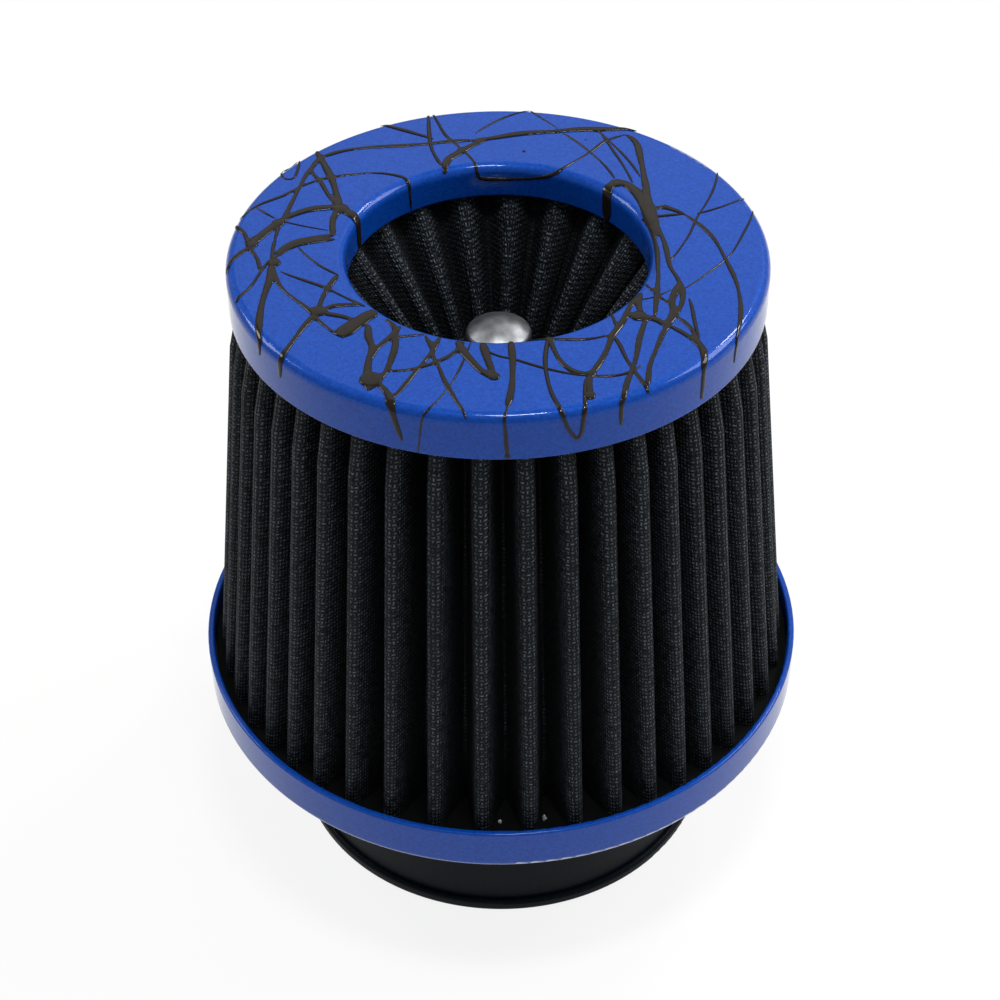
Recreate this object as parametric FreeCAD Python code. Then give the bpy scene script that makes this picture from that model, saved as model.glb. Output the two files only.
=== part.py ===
import FreeCAD, Part
import math
import os

os.makedirs("parts", exist_ok=True)

# Clamp-on engine air filter: a tapered pleated pack between two painted rings, an inverted pleated cone in
# the hole of the top ring, and a rubber neck below. Millimetres, degrees for wander_phase, cone_phase and
# pleat_wander, +Z up, origin at the centre of the neck's mouth.

overall_height = 133.0

# Rubber neck
neck_bore_radius = 38.0
neck_wall = 4.3
neck_drop = 34.4
neck_lip_height = 3.2
neck_lip_proud = 1.1
neck_lip_round = 1.4
neck_lip_edge_round = 0.9
neck_lead_in = 0.8
neck_flange_width = 4.7
neck_flange_height = 2.0
neck_hole_gap = 0.2

# Painted tray ring at the base
base_radius = 60.0
base_depth = 9.3
base_sheet = 1.3
base_bend = 1.5

# Painted channel ring on top
top_radius = 48.5
top_skirt = 9.0
hole_radius = 27.2
hole_skirt = 6.7
top_sheet = 1.2
top_bend = 1.8
sheet_edge_round = 0.45

# Outer pleated pack
pleat_count = 44
pleat_depth = 10.4
pleat_wander = 1.8
wander_waves = 4
wander_phase = 41.0
media_thickness = 1.1
crest_fold = 0.95
valley_fold = 0.95
crest_flats = 6
valley_flats = 4
crease_twist = 0.05
rim_gap = 1.3
skirt_gap = 0.3
shoulder_drop = 9.0
shoulder_proud = 0.7

# Inverted pleated cone
cone_pleats = 20
cone_media = 0.8
cone_depth_top = 5.0
cone_depth_low = 4.0
cone_fold_top = 1.6
cone_fold_low = 0.6
cone_phase = 85.0
cone_length = 35.5
cone_skirt_gap = 2.0
cone_bed_side = 1.0

# Domed post on the axis, with what holds it
post_radius = 6.1
post_top_drop = 16.2
post_dome = 2.2
post_crown_round = 1.2
post_gap = 0.9
stud_radius = 3.0
stud_hole_gap = 0.2
stud_over = 1.0
cap_height = 3.0
cap_border = 1.5
washer_radius = 7.0
washer_height = 1.2
nut_flats = 10.0
nut_height = 5.0

# Adhesive beds
bed_gap = 0.2
base_bed_over_flange = 2.5
base_bed_inset = 2.0
bed_rise_in_skirt = 0.6
cone_bed_height = 2.8


def rounded_wire(corners):
    """Closed wire in the XZ plane through (radius, height, corner rounding) points."""
    count = len(corners)
    starts, ends, mids = [], [], []
    for i in range(count):
        here = FreeCAD.Vector(corners[i][0], 0, corners[i][1])
        before = FreeCAD.Vector(corners[i - 1][0], 0, corners[i - 1][1])
        after = FreeCAD.Vector(corners[(i + 1) % count][0], 0, corners[(i + 1) % count][1])
        rounding = corners[i][2]
        back = (before - here).normalize()
        ahead = (after - here).normalize()
        half = back.getAngle(ahead) / 2
        reach = rounding / math.tan(half)
        starts.append(here + back * reach)
        ends.append(here + ahead * reach)
        inward = (back + ahead).normalize()
        mids.append(here + inward * (rounding / math.sin(half) - rounding))
    edges = []
    for i in range(count):
        if corners[i][2] > 0:
            edges.append(Part.Arc(starts[i], mids[i], ends[i]).toShape())
        follow = starts[(i + 1) % count]
        if ends[i].distanceToPoint(follow) > 1e-6:
            edges.append(Part.makeLine(ends[i], follow))
    return Part.Wire(edges)


def turned(corners):
    """Solid of revolution about Z from a rounded outline."""
    face = Part.Face(rounded_wire(corners))
    return face.revolve(FreeCAD.Vector(0, 0, 0), FreeCAD.Vector(0, 0, 1), 360)


def crest_angles(count, phase, wander):
    """Angles of the crests round the axis, which bunch and spread a little in waves, closed by the first."""
    angles = []
    for k in range(count + 1):
        even = 2 * math.pi * k / count
        drift = wander * math.sin(wander_waves * even + math.radians(wander_phase))
        angles.append(math.radians(phase + drift) + even)
    return angles


def pleat_edges(level, outer, inner, crest, valley, crests, half_sheet, side):
    """Edges of one skin of a folded sheet at one height, each fold creased into a few flats.

    crest and valley are the fold radii at the middle of the sheet; side is +1 outside, -1 inside.
    """
    shift = side * half_sheet
    crest_reach = outer - crest - half_sheet
    valley_reach = inner + valley + half_sheet
    steps = [(after - here) / 2 for here, after in zip(crests[:-1], crests[1:])]
    turns = []
    for step in steps:
        span_x = valley_reach * math.cos(step) - crest_reach
        span_y = valley_reach * math.sin(step)
        turns.append(math.atan2(span_y, span_x) - math.acos((crest + valley) / math.hypot(span_x, span_y)))

    corners = []
    for k, (here, step, turn) in enumerate(zip(crests, steps, turns)):
        for i in range(crest_flats + 1):
            aim = here - turns[k - 1] + (turns[k - 1] + turn) * i / crest_flats
            corners.append((crest_reach, here, crest + shift, aim))
        for i in range(valley_flats + 1):
            aim = here + math.pi + turn - 2 * (turn - step) * i / valley_flats
            corners.append((valley_reach, here + step, valley - shift, aim))
    points = [
        FreeCAD.Vector(
            reach * math.cos(place) + radius * math.cos(aim),
            reach * math.sin(place) + radius * math.sin(aim),
            level,
        )
        for reach, place, radius, aim in corners
    ]
    return [Part.makeLine(p, q) for p, q in zip(points, points[1:] + points[:1])]


def flat_faces(low, high):
    """The flat between two edges of a fold, creased along its diagonal where it would twist."""
    a, b = [v.Point for v in low.Vertexes]
    c, d = [v.Point for v in high.Vertexes]
    twist = (b - a).cross(c - a).normalize().dot(d - a)
    if abs(twist) < crease_twist:
        return [Part.makeRuledSurface(low, high)]
    return [Part.Face(Part.makePolygon([a, b, c, a])), Part.Face(Part.makePolygon([b, d, c, b]))]


def pleated(sections, crests, sheet):
    """Folded sheet through (height, outer radius, inner radius, crest fold, valley fold) sections."""
    faces = []
    rings = []
    for side in (1, -1):
        levels = [pleat_edges(*section, crests, sheet / 2, side) for section in sections]
        for low, high in zip(levels[:-1], levels[1:]):
            for a, b in zip(low, high):
                faces.extend(flat_faces(a, b))
        rings.append(levels)
    for end in (0, -1):
        outside = Part.Wire(rings[0][end])
        inside = Part.Wire(rings[1][end])
        faces.append(Part.makeFace([outside, inside], "Part::FaceMakerBullseye"))
    shell = Part.makeShell(faces)
    shell.sewShape()
    solid = Part.Solid(shell.Shells[0])
    if solid.Volume < 0:
        solid.reverse()
    return solid


# Heights and radii that follow from the sizes above
base_floor = neck_drop + base_sheet
neck_radius = neck_bore_radius + neck_wall
flange_radius = neck_radius + neck_flange_width
flange_top = base_floor + neck_flange_height
base_bed_top = flange_top + base_bed_over_flange
skirt_edge = overall_height - top_skirt
channel_roof = overall_height - top_sheet
channel_outer = top_radius - top_sheet
channel_inner = hole_radius + top_sheet
pack_top = skirt_edge + bed_rise_in_skirt
shoulder = skirt_edge - shoulder_drop
cone_top = channel_roof - cone_bed_height
cone_low = cone_top - cone_length
cone_in_low = post_radius + post_gap
cone_out_low = cone_in_low + cone_depth_low
cone_in_top = channel_inner + cone_skirt_gap
cone_out_top = cone_in_top + cone_depth_top
bed_step = cone_out_top + cone_bed_side
cap_foot = cone_low - cap_height
washer_foot = cap_foot - washer_height
nut_foot = washer_foot - nut_height
stud_hole = stud_radius + stud_hole_gap

neck_collar = turned([
    (neck_bore_radius + neck_lead_in, 0, 0),
    (neck_radius + neck_lip_proud, 0, neck_lip_round),
    (neck_radius + neck_lip_proud, neck_lip_height, neck_lip_edge_round),
    (neck_radius, neck_lip_height, 0),
    (neck_radius, base_floor, 0),
    (flange_radius, base_floor, 0),
    (flange_radius, flange_top, 0),
    (neck_bore_radius, flange_top, 0),
    (neck_bore_radius, neck_lead_in, 0),
])

base_ring = turned([
    (base_radius, neck_drop, base_bend),
    (base_radius, neck_drop + base_depth, sheet_edge_round),
    (base_radius - base_sheet, neck_drop + base_depth, sheet_edge_round),
    (base_radius - base_sheet, base_floor, 0),
    (neck_radius + neck_hole_gap, base_floor, 0),
    (neck_radius + neck_hole_gap, neck_drop, 0),
])

base_sealant = turned([
    (flange_radius + bed_gap, base_floor, 0),
    (base_radius - base_sheet - bed_gap, base_floor, 0),
    (base_radius - base_sheet - bed_gap, base_bed_top, 0),
    (neck_bore_radius + base_bed_inset, base_bed_top, 0),
    (neck_bore_radius + base_bed_inset, flange_top, 0),
    (flange_radius + bed_gap, flange_top, 0),
])

top_ring = turned([
    (top_radius, skirt_edge, sheet_edge_round),
    (top_radius, overall_height, top_bend),
    (hole_radius, overall_height, top_bend),
    (hole_radius, overall_height - hole_skirt, sheet_edge_round),
    (channel_inner, overall_height - hole_skirt, 0),
    (channel_inner, channel_roof, 0),
    (channel_outer, channel_roof, 0),
    (channel_outer, skirt_edge, 0),
])

# The pack narrows from the tray to a shoulder under the skirt, and there it is gathered into the room that
# the channel leaves beside the cone. In a shallow gather the two folds take a third of the depth each.
tray_crest = base_radius - base_sheet - rim_gap
shoulder_crest = top_radius + shoulder_proud
gather_crest = channel_outer - skirt_gap
gather_valley = bed_step + bed_gap
gather_fold = (gather_crest - gather_valley - media_thickness) / 3
outer_element = pleated([
    (base_bed_top, tray_crest, tray_crest - pleat_depth, crest_fold, valley_fold),
    (shoulder, shoulder_crest, shoulder_crest - pleat_depth, crest_fold, valley_fold),
    (pack_top, gather_crest, gather_valley, min(crest_fold, gather_fold), min(valley_fold, gather_fold)),
], crest_angles(pleat_count, -90 + 180 / pleat_count, pleat_wander), media_thickness)

# The cone runs from the channel, clear of the inner skirt, down to its cap round the foot of the post
cone_element = pleated([
    (cone_low, cone_out_low, cone_in_low, cone_fold_low, cone_fold_low),
    (cone_top, cone_out_top, cone_in_top, cone_fold_top, cone_fold_top),
], crest_angles(cone_pleats, cone_phase + 180 / cone_pleats, 0), cone_media)

# The bed fills the channel down to the outer pack, and steps up over the cone's wider end
top_sealant = turned([
    (channel_inner + bed_gap, cone_top, 0),
    (bed_step, cone_top, 0),
    (bed_step, pack_top, 0),
    (channel_outer - bed_gap, pack_top, 0),
    (channel_outer - bed_gap, channel_roof, 0),
    (channel_inner + bed_gap, channel_roof, 0),
])

cone_cap = turned([
    (stud_hole, cap_foot, 0),
    (cone_out_low + cap_border, cap_foot, 0),
    (cone_out_low + cap_border, cone_low, 0),
    (stud_hole, cone_low, 0),
])

dome_radius = (post_radius ** 2 + post_dome ** 2) / (2 * post_dome)
dome_half = math.asin(post_radius / dome_radius) / 2
post_crown = overall_height - post_top_drop
dome_drop = dome_radius * (1 - math.cos(dome_half))
dome_mid = FreeCAD.Vector(dome_radius * math.sin(dome_half), 0, post_crown - dome_drop)
post_outline = [
    FreeCAD.Vector(0, 0, post_crown),
    FreeCAD.Vector(0, 0, nut_foot - stud_over),
    FreeCAD.Vector(stud_radius, 0, nut_foot - stud_over),
    FreeCAD.Vector(stud_radius, 0, cone_low),
    FreeCAD.Vector(post_radius, 0, cone_low),
    FreeCAD.Vector(post_radius, 0, post_crown - post_dome),
]
post_edges = [Part.makeLine(a, b) for a, b in zip(post_outline[:-1], post_outline[1:])]
post_edges.append(Part.Arc(post_outline[-1], dome_mid, post_outline[0]).toShape())
centre_post = Part.Face(Part.Wire(post_edges)).revolve(FreeCAD.Vector(0, 0, 0), FreeCAD.Vector(0, 0, 1), 360)
crown_rim = post_crown - post_dome
rim_edges = [e for e in centre_post.Edges if e.isClosed() and abs(e.CenterOfMass.z - crown_rim) < 1e-4]
centre_post = centre_post.makeFillet(post_crown_round, rim_edges).Solids[0]

post_washer = turned([
    (stud_hole, washer_foot, 0),
    (washer_radius, washer_foot, 0),
    (washer_radius, cap_foot, 0),
    (stud_hole, cap_foot, 0),
])

nut_corner = nut_flats / math.sqrt(3)
nut_angles = [math.radians(60 * k) for k in range(7)]
nut_rim = [(nut_corner * math.cos(a), nut_corner * math.sin(a)) for a in nut_angles]
nut_points = [FreeCAD.Vector(x, y, nut_foot) for x, y in nut_rim]
post_nut = Part.Face(Part.makePolygon(nut_points)).extrude(FreeCAD.Vector(0, 0, nut_height))
post_nut = post_nut.cut(Part.makeCylinder(stud_hole, nut_height, FreeCAD.Vector(0, 0, nut_foot))).Solids[0]

nodes = {
    "neck_collar": neck_collar,
    "base_ring": base_ring,
    "base_sealant": base_sealant,
    "outer_element": outer_element,
    "top_ring": top_ring,
    "top_sealant": top_sealant,
    "cone_element": cone_element,
    "cone_cap": cone_cap,
    "centre_post": centre_post,
    "post_washer": post_washer,
    "post_nut": post_nut,
}
for name, shape in nodes.items():
    shape.exportStep("parts/" + name + ".step")
    print(name, shape.ShapeType, shape.isValid(), round(shape.Volume, 1))
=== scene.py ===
# %% [markdown]
# # A clamp-on air filter, dressed for its photograph
# The CAD part is loaded as a fixed frame, and its pieces stay where they are. This lesson gives each of
# them its finish, and adds what is too thin or too fine for the CAD model: drizzled lacquer on the top ring
# and two bits of lint. Floor, light and camera come last.

# %% Load the frame
import math
import random

import bpy
from mathutils import Matrix, Vector


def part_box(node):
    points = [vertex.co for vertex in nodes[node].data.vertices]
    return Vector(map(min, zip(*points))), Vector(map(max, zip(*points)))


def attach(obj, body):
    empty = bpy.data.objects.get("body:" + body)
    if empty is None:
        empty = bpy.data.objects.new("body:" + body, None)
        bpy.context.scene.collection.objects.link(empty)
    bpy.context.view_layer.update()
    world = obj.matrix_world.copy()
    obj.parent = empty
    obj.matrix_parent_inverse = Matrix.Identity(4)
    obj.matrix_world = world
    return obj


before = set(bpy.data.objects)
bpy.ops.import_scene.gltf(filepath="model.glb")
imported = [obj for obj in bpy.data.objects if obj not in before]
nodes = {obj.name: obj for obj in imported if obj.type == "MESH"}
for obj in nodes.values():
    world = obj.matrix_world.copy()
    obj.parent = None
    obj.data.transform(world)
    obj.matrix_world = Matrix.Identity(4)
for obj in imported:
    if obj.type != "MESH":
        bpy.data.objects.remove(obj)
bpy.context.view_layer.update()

MM = 0.001
print("CAD nodes:", ", ".join(sorted(nodes)))

# %% [markdown]
# ## Sizes of the top ring
# The lacquer lies on the top ring, so the ring's radius and height are measured from its CAD box. A box
# doesn't show the hole or the rounding of the edges, so these two are repeated from the part's source.

# %% Measure the top ring
ring_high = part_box("top_ring")[1]
ring_radius = ring_high[0]
ring_top = ring_high[2]
hole_radius = 27.2 * MM
ring_bend = 1.8 * MM
print("top ring, radius and top in mm:", round(ring_radius / MM, 1), round(ring_top / MM, 1))

# %% [markdown]
# ## Small helpers
# `linear` turns an sRGB hex colour into the linear numbers that shaders use. `fill` sets a node's inputs,
# `node` adds one shader node, `new_material` starts a material and `give_finish` puts it on a piece.

# %% Colour and node helpers
def linear(code):
    """Linear colour of an sRGB hex code, opaque."""
    parts = [int(code[i:i + 2], 16) / 255 for i in (1, 3, 5)]
    return [c / 12.92 if c <= 0.04045 else ((c + 0.055) / 1.055) ** 2.4 for c in parts] + [1.0]


def fill(tree, target, inputs):
    """Sets inputs of a node: to a plain value, an output socket, or a node whose first output is meant."""
    for key, value in inputs.items():
        if isinstance(value, bpy.types.Node):
            value = value.outputs[0]
        if isinstance(value, bpy.types.NodeSocket):
            tree.links.new(value, target.inputs[key])
        else:
            target.inputs[key].default_value = value


def node(tree, kind, inputs=None, **settings):
    """Adds one shader node with its settings and inputs."""
    made = tree.nodes.new("ShaderNode" + kind)
    for key, value in settings.items():
        setattr(made, key, value)
    fill(tree, made, inputs or {})
    return made


# %% Material helpers
def new_material(name):
    """A new node material, its tree and its Principled shader."""
    material = bpy.data.materials.new(name)
    material.use_nodes = True
    return material, material.node_tree, material.node_tree.nodes["Principled BSDF"]


def two_tones(tree, amount, dark, pale, start=0.0, end=1.0):
    """A ramp between two hex colours."""
    ramp = node(tree, "ValToRGB", {"Fac": amount})
    low, high = ramp.color_ramp.elements
    low.position, low.color = start, linear(dark)
    high.position, high.color = end, linear(pale)
    return ramp


def give_finish(obj, material):
    """Gives a piece one material."""
    obj.data.materials.clear()
    obj.data.materials.append(material)


# %% [markdown]
# ## Blue metallic paint
# Both rings are pressed from sheet and sprayed: a deep blue base with metal flake, and a clear coat on it.
# To the eye that is a full blue with a fine grain, under sharp reflections that waver, because a sprayed
# coat dries with a slight orange peel. A picture could hold the grain, but a cell pattern keeps its scale
# on every face. Real flake is some hundredths of a millimetre across, and it is drawn at a third of a
# millimetre so that it shows. The peel goes to the normal of the coat alone, so the colour under it stays
# calm.

# %% Blue paint
FLAKE_SIZE = 0.33 * MM
PEEL_SIZE = 2.2 * MM
PEEL_HEIGHT = 0.06 * MM


def blue_paint():
    """Sprayed metallic paint with a clear coat."""
    material, tree, shader = new_material("blue_metallic_paint")
    place = node(tree, "TexCoord").outputs["Object"]
    flake = node(tree, "TexVoronoi", {"Vector": place, "Scale": 1 / FLAKE_SIZE})
    grey = node(tree, "SeparateColor", {"Color": flake.outputs["Color"]})
    peel = node(tree, "TexNoise", {"Vector": place, "Scale": 1 / PEEL_SIZE, "Detail": 2.0})
    fill(tree, shader, {
        "Base Color": two_tones(tree, grey.outputs["Red"], "#02378C", "#0645A4"),
        "Metallic": 0.15,
        "Roughness": 0.45,
        "Specular IOR Level": 0.06,
        "Coat Weight": 1.0,
        "Coat Roughness": 0.06,
        "Coat IOR": 1.27,
        "Coat Normal": node(tree, "Bump", {"Height": peel, "Strength": 0.6, "Distance": PEEL_HEIGHT}),
    })
    return material


paint = blue_paint()
for name in ("top_ring", "base_ring"):
    give_finish(nodes[name], paint)
print("painted: top_ring, base_ring")

# %% [markdown]
# ## Woven screen on the pleats
# Both packs are black media folded together with a black woven screen, which gives the eye short pale
# dashes on black. Modelled threads would run to millions of faces, so the weave is colour and bump. The
# pale dashes are painted sheen, a paler colour on the upper threads. A grid over the whole pack would slide
# across the folds, so the threads are counted along the sheet itself. One set runs round the pack, at a
# fixed pitch in height. The other runs along the pleats, and is counted from each crest by the arc on the
# fold and the depth on the flanks.

# %% Measure a pack's taper
def taper_of(name):
    """Foot height and radius of a pack, and how much its radius changes for each metre of height."""
    low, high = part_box(name)
    points = [nodes[name].matrix_world @ v.co for v in nodes[name].data.vertices]
    near = 0.001 * (high[2] - low[2])
    foot = max(math.hypot(p.x, p.y) for p in points if p.z < low[2] + near)
    head = max(math.hypot(p.x, p.y) for p in points if p.z > high[2] - near)
    return low[2], foot, (head - foot) / (high[2] - low[2])


for name in ("outer_element", "cone_element"):
    print(name, "gains in radius for each mm of height:", round(taper_of(name)[2], 3))


# %% Distance from the nearest crest
def crest_distance(tree, axes, name, folds):
    """Shader distance from the nearest crest, along the fold and down the flank."""
    foot_height, foot_radius, slope = taper_of(name)
    flat = node(tree, "CombineXYZ", {"X": axes.outputs["X"], "Y": axes.outputs["Y"]})
    reach = node(tree, "VectorMath", {0: flat}, operation="LENGTH").outputs["Value"]
    rise = node(tree, "Math", {0: axes.outputs["Z"], 1: foot_height}, operation="SUBTRACT")
    crest = node(tree, "Math", {0: rise, 1: slope, 2: foot_radius}, operation="MULTIPLY_ADD")
    sunk = node(tree, "Math", {0: crest, 1: reach}, operation="SUBTRACT")
    depth = node(tree, "Math", {0: sunk, 1: 0.0}, operation="MAXIMUM")

    turn = node(tree, "Math", {0: axes.outputs["Y"], 1: axes.outputs["X"]}, operation="ARCTAN2")
    even = node(tree, "Math", {0: turn, 1: math.radians(folds["first_crest"])}, operation="SUBTRACT")
    phase = math.radians(folds["wave_phase"])
    wave = node(tree, "Math", {0: even, 1: folds["waves"], 2: phase}, operation="MULTIPLY_ADD")
    swing = node(tree, "Math", {0: wave}, operation="SINE")
    drift = node(tree, "Math", {0: swing, 1: math.radians(folds["wander"])}, operation="MULTIPLY")
    true_turn = node(tree, "Math", {0: even, 1: drift}, operation="SUBTRACT")
    fold = node(tree, "Math", {0: true_turn, 1: folds["count"]}, operation="MULTIPLY")
    ripple = node(tree, "Math", {0: fold}, operation="COSINE")
    aside = node(tree, "Math", {0: ripple}, operation="ARCCOSINE")
    off_crest = node(tree, "Math", {0: aside, 1: 1 / folds["count"]}, operation="MULTIPLY")
    return node(tree, "Math", {0: off_crest, 1: reach, 2: depth}, operation="MULTIPLY_ADD")


# %% [markdown]
# ## Plain weave
# In plain weave each thread goes over one and under the next. Half waves of the two thread counts,
# multiplied, change sign from one crossing to the next: where the product is positive the thread round the
# pack lies on top, elsewhere the one along the pleats. The threads sway a little, and their painted sheen
# shines in patches, as on handled cloth. The sheen also carries painted shade and light by the folds: on the
# outer pack it is dull in the depth of the pleats, and on the cone the folds nearest to the axis, the ones
# that face the viewer, are painted brighter.

# %% Screened media
ROUND_PITCH = 0.88 * MM
LONG_PITCH = 0.76 * MM
SWAY_SIZE = 3 * MM
SWAY_TURN = 2.6
SHINE_SIZE = 0.9 * MM
THREAD_HEIGHT = 0.22 * MM


def woven(tree, along, across):
    """Height of the upper thread at each place of a plain weave, from 0 between threads to 1."""
    waves = {}
    for name, phase in (("along", along), ("across", across)):
        half = node(tree, "Math", {0: phase, 1: 0.5}, operation="MULTIPLY")
        waves["half " + name] = node(tree, "Math", {0: half}, operation="COSINE")
        waves[name] = node(tree, "Math", {0: phase}, operation="COSINE")
    over = node(tree, "Math", {0: waves["half along"], 1: waves["half across"]}, operation="MULTIPLY")
    under = node(tree, "Math", {0: over, 1: -1.0}, operation="MULTIPLY")
    round_thread = node(tree, "Math", {0: waves["along"], 1: over}, operation="MULTIPLY")
    long_thread = node(tree, "Math", {0: waves["across"], 1: under}, operation="MULTIPLY")
    upper = node(tree, "Math", {0: round_thread, 1: long_thread}, operation="MAXIMUM")
    return node(tree, "MapRange", {"Value": upper, "From Max": 0.9})


def screened_media(name, folds, sheen_colour):
    """Black woven screen on black media, with painted sheen and painted fold shade."""
    material, tree, shader = new_material("black_woven_screen_" + name)
    place = node(tree, "TexCoord").outputs["Object"]
    axes = node(tree, "SeparateXYZ", {"Vector": place})
    cloud = node(tree, "TexNoise", {"Vector": place, "Scale": 1 / SWAY_SIZE, "Detail": 2.0})
    sway = node(tree, "Math", {0: cloud, 1: SWAY_TURN, 2: -SWAY_TURN / 2}, operation="MULTIPLY_ADD")
    away = crest_distance(tree, axes, name, folds)
    across = node(tree, "Math", {0: away, 1: math.tau / LONG_PITCH, 2: sway}, operation="MULTIPLY_ADD")
    height = axes.outputs["Z"]
    along = node(tree, "Math", {0: height, 1: math.tau / ROUND_PITCH, 2: sway}, operation="MULTIPLY_ADD")
    thread = woven(tree, along, across)

    # Painted sheen on the threads, shown in noise patches.
    shine = node(tree, "TexNoise", {"Vector": place, "Scale": 1 / SHINE_SIZE, "Detail": 3.0})
    patch = node(tree, "MapRange", {"Value": shine, "From Min": 0.36, "From Max": 0.66, "To Min": 0.1})
    # Painted shade and light by the folds: scales the thread sheen by distance from the crest.
    fold_shade = node(tree, "MapRange", {"Value": away, **folds["fold_shade"]})
    shown = node(tree, "Math", {0: thread, 1: patch}, operation="MULTIPLY")
    painted_sheen = node(tree, "Math", {0: shown, 1: fold_shade}, operation="MULTIPLY")
    fill(tree, shader, {
        "Base Color": two_tones(tree, painted_sheen, "#010304", sheen_colour),
        "Normal": node(tree, "Bump", {"Height": thread, "Strength": 0.9, "Distance": THREAD_HEIGHT}),
        "Roughness": 0.6,
        "Specular IOR Level": 0.12,
    })
    return material


# %% Screen both packs
# Counts and angles repeat the pleats of the part's source. The last entry is painted shade and light: how
# bright the thread sheen is, by its distance from the crest.
OUTER_FOLDS = {
    "count": 44, "first_crest": -90 + 180 / 44, "wander": 1.8, "waves": 4, "wave_phase": 41,
    "fold_shade": {"From Min": 2 * MM, "From Max": 6 * MM, "To Min": 1.0, "To Max": 0.3},
}
CONE_FOLDS = {
    "count": 20, "first_crest": 85 + 180 / 20, "wander": 0, "waves": 0, "wave_phase": 0,
    "fold_shade": {"From Min": 4 * MM, "From Max": 7.5 * MM, "To Min": 0.12, "To Max": 1.0},
}
# The last argument is the colour of the painted sheen on the threads.
give_finish(nodes["outer_element"], screened_media("outer_element", OUTER_FOLDS, "#646E79"))
give_finish(nodes["cone_element"], screened_media("cone_element", CONE_FOLDS, "#717E8C"))
print("screened: outer_element, cone_element")

# %% [markdown]
# ## Rubber, sealant, aluminium and steel
# The neck is moulded rubber with a satin skin, the beds are cast black polyurethane, the post is turned
# aluminium with a soft polish, and its washer and nut are zinc-plated steel. All four are plain, so one
# recipe serves them: two close tones and a low bump from one noise, at a scale of about a millimetre, so
# that none looks like flat colour.

# %% Plain finishes
def plain_finish(name, tones, grain, bump_height, roughness, metallic=0.0, specular=0.5):
    """A finish of two close tones with a low, soft relief."""
    material, tree, shader = new_material(name)
    place = node(tree, "TexCoord").outputs["Object"]
    noise = node(tree, "TexNoise", {"Vector": place, "Scale": 1 / grain, "Detail": 4.0})
    fill(tree, shader, {
        "Base Color": two_tones(tree, noise, *tones, start=0.35, end=0.65),
        "Normal": node(tree, "Bump", {"Height": noise, "Strength": 0.3, "Distance": bump_height}),
        "Roughness": roughness,
        "Metallic": metallic,
        "Specular IOR Level": specular,
    })
    return material


# %% Rubber, sealant, aluminium and steel pieces
rubber = plain_finish(
    "satin_black_rubber", ("#050A0F", "#091219"),
    grain=1.2 * MM, bump_height=0.04 * MM, roughness=0.45, specular=0.07)
sealant = plain_finish(
    "cast_black_sealant", ("#030405", "#060708"),
    grain=3 * MM, bump_height=0.1 * MM, roughness=0.6, specular=0.08)
aluminium = plain_finish(
    "satin_aluminium", ("#74777A", "#949698"),
    grain=2 * MM, bump_height=0.02 * MM, roughness=0.44, metallic=1.0)
steel = plain_finish(
    "zinc_plated_steel", ("#8D8F90", "#A5A6A4"),
    grain=1 * MM, bump_height=0.02 * MM, roughness=0.38, metallic=1.0)
PLAIN_PIECES = {
    "neck_collar": rubber,
    "base_sealant": sealant,
    "top_sealant": sealant,
    "cone_cap": sealant,
    "centre_post": aluminium,
    "post_washer": steel,
    "post_nut": steel,
}
for name, material in PLAIN_PIECES.items():
    give_finish(nodes[name], material)
print("plain finishes on:", ", ".join(PLAIN_PIECES))

# %% [markdown]
# ## Drizzled lacquer on the top ring
# Dark lacquer was drizzled over the painted ring while it lay flat, and it dried as flat strands with
# steep, glossy edges. Painted in a material, they would have no edge to catch the light. So each strand is
# a route of listed points: the angle round the ring from the front, and the way over the ring's section
# from the edge of the hole.

# %% Lacquer
LACQUER_CLOUD = 1.5 * MM


def lacquer():
    """Brown-black lacquer with a soft gloss."""
    material, tree, shader = new_material("drizzled_dark_lacquer")
    place = node(tree, "TexCoord").outputs["Object"]
    noise = node(tree, "TexNoise", {"Vector": place, "Scale": 1 / LACQUER_CLOUD, "Detail": 3.0})
    fill(tree, shader, {
        "Base Color": two_tones(tree, noise, "#120F0A", "#1F1910"),
        "Roughness": 0.11,
        "Specular IOR Level": 0.25,
    })
    return material


# %% Places on the ring's section
ring_width = ring_radius - hole_radius


def ring_point(angle, over):
    """Point of the ring's skin: degrees round from the front, mm over the section from the hole's edge."""
    over = over * MM
    if over < 0:
        reach, height = hole_radius, ring_top + over
    elif over > ring_width:
        reach, height = ring_radius, ring_top - (over - ring_width)
    else:
        reach, height = hole_radius + over, ring_top
    turn = math.radians(angle)
    return Vector((reach * math.sin(turn), -reach * math.cos(turn), height))


print("the ring's flat top is", round(ring_width / MM, 1), "mm wide")

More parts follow.
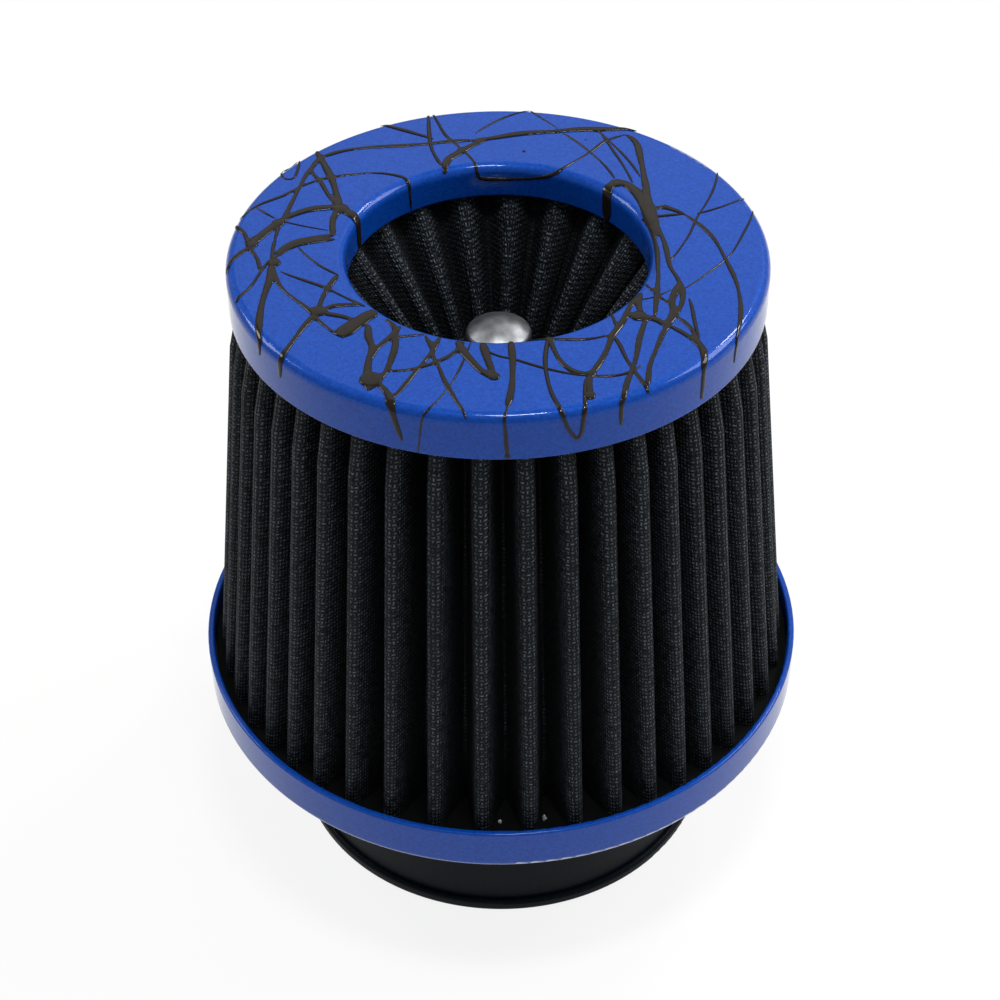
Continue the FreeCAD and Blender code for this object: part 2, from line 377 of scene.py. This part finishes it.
# %% The strands, as width in mm and a route
STRANDS = [
    (0.9, [(-95, 12.8), (-86, 13), (-80, 12.8), (-72, 12.2), (-62, 10.3), (-56, 10.3), (-46, 10.3)]),
    (1.1, [(-74, 2), (-69, 4.2), (-62, 7.5), (-58.5, 9), (-55.5, 12.5), (-52, 16.5), (-49.5, 20),
           (-49, 22), (-49.5, 26)]),
    (0.8, [(-80, 11.8), (-72, 6.8), (-66, 4.4), (-58, 2.6), (-52, 1.6)]),
    (1.1, [(-58, 8.5), (-58.5, 6), (-56, 3.4), (-53, 1.6)]),
    (2.9, [(-48, 1.2), (-47.5, 4), (-46.8, 7), (-46, 10.4)]),
    (1.3, [(-57.5, 8.8), (-53, 6.6), (-48.5, 5.4)]),
    (1.3, [(-44, 4.6), (-40, 7), (-36, 9), (-33.5, 12), (-31, 15), (-28.8, 17.6), (-27.4, 19.2)]),
    (1.2, [(-42, 1.6), (-38, 2), (-34.5, 3.5), (-31, 6.5), (-29, 9.5), (-27.5, 13), (-27.2, 16.5),
           (-27.6, 19)]),
    (1.1, [(-35.4, 1.4), (-34.6, 5), (-34.6, 8.5), (-33, 11.6)]),
    (0.7, [(-33.5, 4.6), (-30, 3), (-26, 1.6)]),
    (0.9, [(-25.5, 1.6), (-21, 4.2), (-19, 6.5), (-16, 9), (-13, 12.5), (-10, 16), (-7, 20), (-6.4, 21.8)]),
    (0.9, [(-20.5, 0.8), (-20, 5), (-20.5, 9), (-21, 13), (-21.5, 17), (-22, 20)]),
    (0.9, [(-27.4, 13.2), (-23, 11.5), (-18, 8.5), (-14, 5.2), (-11.5, 1.4)]),
    (1.2, [(-27, 16.4), (-23.5, 18.5), (-21.5, 21), (-20.6, 24), (-19.2, 28.2)]),
    (1.5, [(-14, 1.4), (-11, 4), (-8, 6.2), (-4, 9.4), (-1.2, 10.8)]),
    (1.5, [(-5.4, 1.2), (-3.6, 5), (-1.4, 9.6)]),
    (0.35, [(-9.5, 1.2), (-10, 6), (-11, 12), (-13, 18), (-15, 23), (-16, 30)]),
    (1.2, [(4.2, 0.2), (4, 5), (3.6, 9), (2.8, 14), (1.6, 18.5)]),
    (0.8, [(1.6, 18.5), (1, 21.5), (1.2, 25), (1.5, 29.8)]),
    (0.6, [(-6, 2.6), (0, 4.8), (5, 6), (12, 9), (20, 12.6), (28, 15.2), (34, 15)]),
    (1.1, [(-96, 2), (-94, 6), (-91, 9.5), (-86, 12.5)]),
    (0.5, [(-74, 2), (-83, 5.5), (-91, 8.4)]),
    (1.3, [(-84, 13), (-77, 13.8), (-70, 16), (-62, 19), (-57, 21.6), (-57, 25)]),
    (0.6, [(-85, 13.5), (-80, 15.3), (-75, 17.5), (-71, 21)]),
    (1.0, [(-96, 16.6), (-91, 17), (-86, 15.5), (-80, 15)]),
    (1.0, [(-91, 17.2), (-87, 19.5), (-82, 22)]),
    (1.1, [(17.5, 0.2), (17, 4), (17, 8), (19, 11.5), (22.5, 12.8)]),
    (0.7, [(17, 1), (13, 7), (11.5, 14), (12, 20), (13, 24), (15, 27), (16, 26), (16.6, 22), (18, 18),
           (20, 14.5), (22.5, 12.8)]),
    (1.2, [(22.5, 12.8), (27, 10.3), (32, 7.5), (36, 5.5), (42, 4), (50, 2), (58, 0.8)]),
    (1.3, [(22.5, 12.8), (20.5, 15), (19, 18.6)]),
    (0.8, [(10, 0.2), (20, 2), (28, 4), (36, 5.2)]),
    (0.8, [(39, 4.6), (43, 1.2), (45.5, -2)]),
    (1.0, [(24.3, 26.6), (24.4, 22), (27, 18.5), (30, 16), (33, 14), (40, 9.5), (46, 7), (50, 6)]),
    (0.7, [(30.5, 21.6), (31, 18), (32.5, 12.5), (35, 8), (36, 5.5)]),
    (1.0, [(31, 20), (36, 15.5), (44, 11.8), (50, 10.2), (58, 9.3), (66, 7.8), (72, 5.8), (80, 3.4),
           (96, 2.4), (104, 2.4)]),
    (1.3, [(49.5, 10.3), (50.5, 8), (50, 5), (54, 2.6), (60, 1.2)]),
    (1.0, [(51, 7), (58, 4.8), (64, 3.5), (70, 2.5), (80, 1.4), (95, 0.8), (108, 1)]),
    (1.2, [(50, 9.8), (56, 8.6), (62, 6.8), (70, 6.2)]),
    (0.8, [(66, 0.8), (63, 2.8), (60, 6), (58, 8.8)]),
    (0.4, [(55, 1.4), (60, 3.8), (66, 5.6)]),
    (1.2, [(50.5, 10.3), (50, 14), (48.5, 18), (46, 20.5), (44.8, 22.5), (44.5, 28.8)]),
    (1.0, [(55, 10.2), (53, 13.5), (50, 16.5), (48, 19.5)]),
    (0.6, [(64, 9.4), (56, 13), (50.5, 16.4)]),
    (0.9, [(107, 8.2), (95, 11.2), (84, 13.2), (75, 15.7), (66, 18.3), (58, 20.8), (56, 23), (55.5, 26.8)]),
    (0.4, [(80, 3.2), (88, 5), (95, 7), (103, 9.6), (108, 12.2), (116, 17.5), (121, 21)]),
    (0.4, [(68, 7.6), (78, 10.8), (86, 14), (95, 17), (104, 21)]),
    (2.0, [(104, 0.9), (112, 2), (120, 3.4), (128, 4.2), (133, 3.8), (133.6, 1.4), (132, -1.5),
           (131.6, -6.4)]),
    (1.3, [(96, 1.2), (104, 2.2), (112, 3.4), (120, 4.8), (126, 6.8), (131, 9), (137, 12.5), (143, 16.8),
           (147, 18.2)]),
    (0.8, [(147, 18.2), (150, 14), (151, 9), (153, 5), (155, 1.5), (158, -0.8), (166, -2.3), (176, -2.9),
           (186, -2.7), (188, -1.5), (188.5, 1.5), (191, 6)]),
    (1.2, [(107, 8.2), (110, 7), (112.4, 5.6), (114, 3.2)]),
    (0.7, [(107, 8), (108.5, 3), (109, 0.2)]),
    (0.5, [(106, 10.6), (107, 15), (109, 21)]),
    (0.5, [(130, 5.5), (137, 8), (145, 11.5), (152, 15.6)]),
    (0.5, [(131, 8), (140, 11), (148, 14), (155, 17.4)]),
    (0.5, [(136, 4.2), (144, 6.8), (152, 9.5), (162, 13.6)]),
    (1.5, [(146, 21.2), (152, 18.2), (158, 16), (165, 13.5), (173, 11.8), (181, 10), (187, 9.4)]),
    (1.1, [(187, 9.4), (194, 10), (200, 10.4), (208, 12), (215, 14.5), (222, 17), (227, 18)]),
    (0.4, [(164, 15), (171, 19.5), (172, 22)]),
    (0.5, [(186, 12), (179, 17), (172, 21)]),
    (1.5, [(183, 9.6), (188, 7.6), (191.5, 6), (197, 4), (200, 1.5), (201, -0.6)]),
    (0.6, [(191.5, 6.5), (193, 9.5), (194.5, 13), (195, 21)]),
    (0.7, [(201, 2.4), (200.5, 8), (199, 12.5), (197, 18), (196, 21.6)]),
    (1.0, [(198, 11.6), (202, 15), (206, 19), (208, 21.6)]),
    (0.8, [(216.5, -6.4), (217, -2), (216.6, 1), (217.5, 3), (222, 6.5), (228, 9.5), (234, 12.5),
           (240, 14.5), (246, 16), (252, 19), (258, 21)]),
    (1.4, [(226, 20.6), (229, 16), (233, 11.5), (238, 8), (243, 5.5), (247, 4.5), (252, 4.2), (262, 2.6)]),
    (0.9, [(228, 18.4), (233, 16.4), (236.5, 12), (242, 7.5), (245, 5.4)]),
    (0.9, [(227, 18), (235, 16.3), (242, 14.5), (250, 13.3), (256, 13), (266, 12.9)]),
    (1.6, [(245, 4.8), (249, 9), (254, 12), (258, 13.5), (264, 15.5), (269, 17.2)]),
    (1.9, [(249, -6.4), (249, -1), (247, 2), (246, 4)]),
    (1.3, [(261.5, 2.4), (263.5, 5.5), (267, 9.5), (272, 12.2)]),
    (0.5, [(231.5, 20.6), (234, 19), (238, 17.5), (239.5, 18.5), (238, 20.6), (234, 22.3), (231.5, 21.6)]),
    (0.4, [(259, 4), (258, 9), (257, 12.6)]),
    (1.0, [(269, 17.5), (264, 18.5), (260, 21.6)]),
    (0.5, [(256, 14.6), (253, 18.8)]),
]
DROPS = [  # diameter in mm, then angle and distance
    (3.0, -58.5, 9), (4.0, -28.9, 16.4), (2.6, -84, 12.6), (2.4, -92, 16.8), (2.2, -1.2, 10.4),
    (2.8, 48.5, 4.6), (2.4, 116, 2.8), (2.6, 133.4, 3.2), (1.6, 112.4, 6), (3.0, 245.5, 4.2),
    (2.6, 258, 13.4), (1.2, 1.5, 29.4), (2.0, 191.5, 6.4), (1.0, 171, 5.5), (0.7, 155, 12.8),
    (2.4, -47.4, 2.4), (1.8, 22.5, 12.8), (2.2, 19, 18.2), (2.0, 154, 17.2), (2.0, -21.8, 20.4),
]

print("strands:", len(STRANDS), "drops:", len(DROPS))

# %% [markdown]
# ## Lay the strands
# A smooth curve is led through each route and given a round bevel that swells and tapers a little, as a
# pouring hand leaves it. As meshes the strands can flow together later. Drops start as balls.

# %% A strand as a beveled curve
STRAND_STEP = 0.7  # mm
STRAND_SPREAD = 1.12
END_WIDTH = 0.55
END_GROWTH = 0.15
SWELL = 0.12
SWELL_TURN = 0.35


def smooth_route(points):
    """Samples of a smooth curve through (angle, distance) points, about one for each step along it."""
    ends = [points[0]] + list(points) + [points[-1]]
    route = []
    for p0, p1, p2, p3 in zip(ends, ends[1:], ends[2:], ends[3:]):
        span = (ring_point(*p2) - ring_point(*p1)).length / MM
        steps = max(2, round(span / STRAND_STEP))
        for i in range(steps):
            t = i / steps
            route.append([
                0.5 * (2 * b + (c - a) * t
                       + (2 * a - 5 * b + 4 * c - d) * t ** 2
                       + (3 * b - a - 3 * c + d) * t ** 3)
                for a, b, c, d in zip(p0, p1, p2, p3)
            ])
    return route + [points[-1]]


def lay_strand(width, points, rng):
    """One strand as a beveled curve along its route."""
    route = smooth_route(points)
    data = bpy.data.curves.new("strand", "CURVE")
    data.dimensions = "3D"
    data.bevel_depth = width * STRAND_SPREAD * MM / 2
    data.bevel_resolution = 1
    data.use_fill_caps = True
    line = data.splines.new("POLY")
    line.points.add(len(route) - 1)
    swell_start = rng.uniform(0, math.tau)
    for i, (angle, over) in enumerate(route):
        line.points[i].co = (*ring_point(angle, over), 1)
        end = min(i, len(route) - 1 - i)
        taper = min(1.0, END_WIDTH + END_GROWTH * end)
        line.points[i].radius = taper * (1 + SWELL * math.sin(SWELL_TURN * i + swell_start))
    obj = bpy.data.objects.new("strand", data)
    bpy.context.scene.collection.objects.link(obj)
    return obj


# %% Lay strands and drops
FINE_STRAND = 0.75  # mm
rng = random.Random(7)
broad, fine = [], []
bpy.ops.object.select_all(action="DESELECT")
for width, points in STRANDS:
    strand = lay_strand(width, points, rng)
    strand.select_set(True)
    bpy.context.view_layer.objects.active = strand
    (broad if width > FINE_STRAND else fine).append(strand)
bpy.ops.object.convert(target="MESH")
for size, angle, over in DROPS:
    bpy.ops.mesh.primitive_uv_sphere_add(
        segments=16, ring_count=10, radius=size * MM / 2, location=ring_point(angle, over))
    bpy.ops.object.transform_apply(location=True, rotation=True, scale=True)
    broad.append(bpy.context.object)
print("broad strands and drops:", len(broad), "fine strands:", len(fine))

# %% [markdown]
# ## Let the lacquer flow together
# Broad strands and drops are fused with a voxel Remesh and rounded with a Smooth modifier, which fills the
# corners where strands cross, as wet lacquer does. Fine strands would be lost between the voxels, so they
# join later. Last, all of it is pressed onto the ring: height is squeezed more the higher it stands, which
# leaves flat tops and steep edges.

# %% Join and press
LACQUER_HEIGHT = 0.34 * MM
LACQUER_EDGE = 0.62
LACQUER_SUNK = 0.16


def join(parts, name):
    """Joins objects into the first of them."""
    bpy.ops.object.select_all(action="DESELECT")
    for part in parts:
        part.select_set(True)
    bpy.context.view_layer.objects.active = parts[0]
    bpy.ops.object.join()
    parts[0].name = name
    return parts[0]


def press_on_ring(obj):
    """Moves each vertex towards the ring's skin, so that a round strand gets a flat top and steep edges."""
    for vertex in obj.data.vertices:
        x, y, z = vertex.co
        reach = math.hypot(x, y)
        centre_reach = min(max(reach, hole_radius + ring_bend), ring_radius - ring_bend)
        centre_height = min(z, ring_top - ring_bend)
        out = Vector((reach - centre_reach, z - centre_height))
        length = max(out.length, 1e-9)
        rise = length - ring_bend
        if rise > 0:
            rise = LACQUER_HEIGHT * (1 - math.exp(-LACQUER_EDGE * rise / LACQUER_HEIGHT))
        else:
            rise *= LACQUER_SUNK
        kept = ring_bend + rise
        new_reach = centre_reach + out.x / length * kept
        vertex.co = (x / reach * new_reach, y / reach * new_reach, centre_height + out.y / length * kept)


# %% Fuse, smooth and press
POOL_VOXEL = 0.26 * MM
pools = join(broad, "pools")
fuse = pools.modifiers.new("fuse", "REMESH")
fuse.voxel_size = POOL_VOXEL
soften = pools.modifiers.new("soften", "SMOOTH")
soften.factor = 0.5
soften.iterations = 8
for name in ("fuse", "soften"):
    bpy.ops.object.modifier_apply(modifier=name)
lacquer_web = join([pools] + fine, "lacquer_web")
press_on_ring(lacquer_web)
bpy.ops.object.shade_smooth()
give_finish(lacquer_web, lacquer())
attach(lacquer_web, "root")
print("lacquer triangles:", sum(len(p.vertices) - 2 for p in lacquer_web.data.polygons))

# %% [markdown]
# ## Two bits of lint
# Two pale tufts of fluff lie on the sealant between the pleats at the front. Hair particles would be far
# too fine to see at this size, so each tuft is a small ball, stretched and then roughened by a cloud
# texture.

# %% Lint
LINT = [(-0.5, -54.2, 0.42), (7.8, -53.4, 0.5)]  # x, y and radius in mm
TUFT_STRETCH = (0.7, 0.8, 1.3)
TUFT_LIFT = 1.1
TUFT_ROUGHNESS = 0.9
fluff = bpy.data.textures.new("fluff", "CLOUDS")
fluff.noise_scale = 0.35 * MM
bed_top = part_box("base_sealant")[1][2]
tufts = []
for x, y, size in LINT:
    bpy.ops.mesh.primitive_ico_sphere_add(
        subdivisions=4, radius=size * MM, location=(x * MM, y * MM, bed_top + TUFT_LIFT * size * MM))
    tuft = bpy.context.object
    tuft.scale = TUFT_STRETCH
    bpy.ops.object.transform_apply(location=True, rotation=True, scale=True)
    rough = tuft.modifiers.new("rough", "DISPLACE")
    rough.texture = fluff
    rough.texture_coords = "LOCAL"
    rough.strength = TUFT_ROUGHNESS * size * MM
    bpy.ops.object.modifier_apply(modifier="rough")
    tufts.append(tuft)
lint = join(tufts, "lint")
bpy.ops.object.shade_smooth()
give_finish(lint, plain_finish(
    "white_lint", ("#8E9296", "#C9CCCE"), grain=0.3 * MM, bump_height=0.05 * MM, roughness=0.9, specular=0.1))
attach(lint, "root")
print("lint tufts:", len(LINT))

# %% [markdown]
# ## Floor
# The floor is white paper. Lit paper comes out grey at the edges of a picture, so rays from the camera and
# mirrored rays see it mostly as plain white, and a small share stays lit paper, which holds the soft
# shadow. Away from the filter the share of white grows, so that the floor has no far edge.

# %% Floor
FLOOR_FADE = {"From Min": 0.12, "From Max": 0.40, "To Min": 0.86, "To Max": 1.0}
bpy.ops.object.select_all(action="DESELECT")
bpy.ops.mesh.primitive_plane_add(size=6, location=(0, 0, 0))
floor = bpy.context.object
floor.name = "floor"
material, tree, shader = new_material("white_paper_floor")
tree.nodes.remove(shader)
path = node(tree, "LightPath")
glossy, through = path.outputs["Is Glossy Ray"], path.outputs["Is Transmission Ray"]
mirrored = node(tree, "Math", {0: glossy, 1: through}, operation="MAXIMUM")
seen = node(tree, "Math", {0: path.outputs["Is Camera Ray"], 1: mirrored}, operation="MAXIMUM")
place = node(tree, "TexCoord").outputs["Object"]
away = node(tree, "VectorMath", {0: place}, operation="LENGTH").outputs["Value"]
white = node(tree, "MapRange", {"Value": away, **FLOOR_FADE})
share = node(tree, "Math", {0: seen, 1: white}, operation="MULTIPLY")
paper = node(tree, "BsdfDiffuse", {"Color": linear("#F4F3F1")})
glow = node(tree, "Emission", {"Color": linear("#FFFFFF"), "Strength": 1.0})
both = node(tree, "MixShader", {0: share, 1: paper, 2: glow})
fill(tree, tree.nodes["Material Output"], {"Surface": both})
give_finish(floor, material)
print("floor:", floor.dimensions.x, "m wide")

# %% [markdown]
# ## Light
# A dim white world fills the shadows and is plain white to the camera. Soft cards stand right, left and
# behind, a smaller lamp above the front draws the bright line on the ring's bend, and a small one at the
# right rear puts glints on the edges of the lacquer.

# %% World
WORLD_FILL = 0.34
world = bpy.data.worlds.new("studio")
bpy.context.scene.world = world
world.use_nodes = True
tree = world.node_tree
camera_ray = node(tree, "LightPath").outputs["Is Camera Ray"]
strength = node(tree, "MapRange", {"Value": camera_ray, "To Min": WORLD_FILL, "To Max": 1.0})
fill(tree, tree.nodes["Background"], {"Color": linear("#FFFFFF"), "Strength": strength})
print("world fill:", WORLD_FILL)

# %% Lamps
LAMP_AIM = Vector((0, 0, 0.08))
LAMPS = {  # place, width and depth in metres, and watts
    "card_right": ((0.50, 0.10, 0.50), (0.30, 0.30), 2.4),
    "card_left": ((-0.52, 0.22, 0.50), (0.24, 0.24), 1.6),
    "top_front": ((0.05, -0.15, 0.85), (0.18, 0.11), 2.9),
    "card_back": ((0.15, 0.80, 0.85), (1.10, 0.60), 1.0),
    "glint_right": ((0.40, 0.38, 0.62), (0.12, 0.12), 1.3),
}
for name, (place, size, power) in LAMPS.items():
    lamp = bpy.data.lights.new(name, "AREA")
    lamp.shape = "RECTANGLE"
    lamp.size, lamp.size_y = size
    lamp.energy = power
    obj = bpy.data.objects.new(name, lamp)
    bpy.context.scene.collection.objects.link(obj)
    obj.location = place
    obj.rotation_euler = (LAMP_AIM - Vector(place)).to_track_quat("-Z", "Y").to_euler()
print("lamps:", ", ".join(LAMPS))

# %% [markdown]
# ## Camera
# The camera looks down on the filter at the photograph's angle. Its place, lens and slight roll were fitted
# to the outlines of the rings and the neck.

# %% Camera
LOOK_DOWN = 40.9
ROLL = -0.47
camera = bpy.data.objects.new("camera", bpy.data.cameras.new("camera"))
bpy.context.scene.collection.objects.link(camera)
camera.data.sensor_width = 36
camera.data.lens = 75.93
camera.data.clip_start = 0.01
camera.location = (0, -0.3134, 0.3450)
pitch = Matrix.Rotation(math.radians(90 - LOOK_DOWN), 4, "X")
roll = Matrix.Rotation(math.radians(ROLL), 4, "Z")
camera.rotation_euler = (pitch @ roll).to_euler()
bpy.context.scene.camera = camera
bpy.context.scene.view_settings.view_transform = "Standard"
print("camera lens:", camera.data.lens, "mm")
